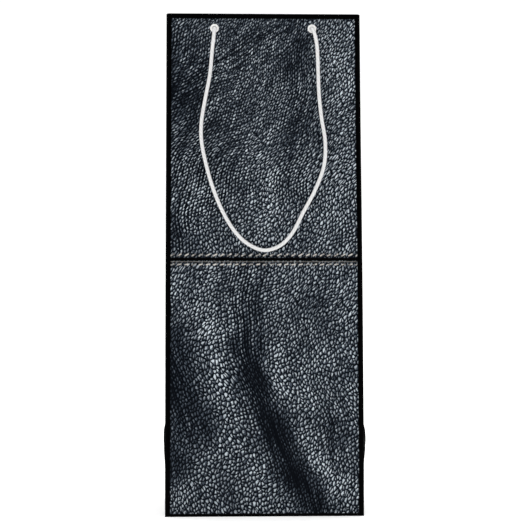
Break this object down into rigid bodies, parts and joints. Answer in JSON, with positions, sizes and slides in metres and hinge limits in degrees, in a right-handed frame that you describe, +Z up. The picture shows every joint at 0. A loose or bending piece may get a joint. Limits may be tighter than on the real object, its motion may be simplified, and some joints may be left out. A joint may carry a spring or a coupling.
{
  "type": "paper gift bag",
  "caption": "Tall narrow laminated paper gift bag for a bottle, with a block bottom, side gussets, turned-in top hems, and white cord handles through eyelets.",
  "frame": {"origin": "centre of the base, on the surface the bag stands on", "axes": "+Z up, +X to the right across the front, the front faces -Y"},
  "size_m": [0.1448, 0.0888, 0.3539],
  "materials": {
    "printed_paper": "leather-look print under satin film",
    "black_paper": "black print under satin film",
    "paper_inside": "uncoated white",
    "card": "grey board",
    "cord": "twisted white cord",
    "eyelet": "white gloss"
  },
  "bodies": {
    "base": {"front_lower_panel": "printed_paper", "back_lower_panel": "printed_paper", "left_lower_gusset": "black_paper", "right_lower_gusset": "black_paper", "bottom_front_flap": "black_paper", "bottom_back_flap": "black_paper", "bottom_left_flap": "paper_inside", "bottom_right_flap": "paper_inside", "back_lower_seam_flap": "paper_inside"},
    "base_card": {"base_card": "card"},
    "front_wall": {"front_upper_panel": "printed_paper", "front_top_card": "card", "front_top_hem": "black_paper", "front_left_eyelet": "eyelet", "front_left_knot": "cord", "front_left_half_gusset": "black_paper", "front_left_gusset_hem": "black_paper", "front_right_eyelet": "eyelet", "front_right_knot": "cord", "front_right_half_gusset": "black_paper", "front_right_gusset_hem": "black_paper"},
    "back_wall": {"back_upper_panel": "printed_paper", "back_top_card": "card", "back_top_hem": "black_paper", "back_left_eyelet": "eyelet", "back_left_knot": "cord", "back_left_half_gusset": "black_paper", "back_left_gusset_hem": "black_paper", "back_right_eyelet": "eyelet", "back_right_knot": "cord", "back_right_half_gusset": "black_paper", "back_right_gusset_hem": "black_paper", "back_seam_flap": "paper_inside"},
    "front_handle": {"front_handle_cord": "cord"},
    "back_handle": {"back_handle_cord": "cord"}
  },
  "joints": [
    {"name": "front_wall_lean", "type": "hinge", "parent": "base", "child": "front_wall", "pos_m": [0, -0.04445, 0.04445], "axis": [1, 0, 0], "range_deg": [-0.7, 6], "deforming": ["front_left_half_gusset", "front_left_gusset_hem", "front_right_half_gusset", "front_right_gusset_hem"]},
    {"name": "back_wall_lean", "type": "hinge", "parent": "base", "child": "back_wall", "pos_m": [0, 0.04445, 0.04445], "axis": [-1, 0, 0], "range_deg": [-0.7, 6], "deforming": ["back_left_half_gusset", "back_left_gusset_hem", "back_right_half_gusset", "back_right_gusset_hem"]},
    {"name": "front_handle_swing", "type": "hinge", "parent": "front_wall", "child": "front_handle", "pos_m": [0, -0.01521, 0.34318], "axis": [-1, 0, 0], "range_deg": [0, 170]},
    {"name": "back_handle_swing", "type": "hinge", "parent": "back_wall", "child": "back_handle", "pos_m": [0, 0.01521, 0.34318], "axis": [1, 0, 0], "range_deg": [0, 170]},
    {"name": "base_card_tilt", "type": "hinge", "parent": "base", "child": "base_card", "pos_m": [0, 0.04145, 0.00135], "axis": [-1, 0, 0], "range_deg": [0, 45]}
  ]
}
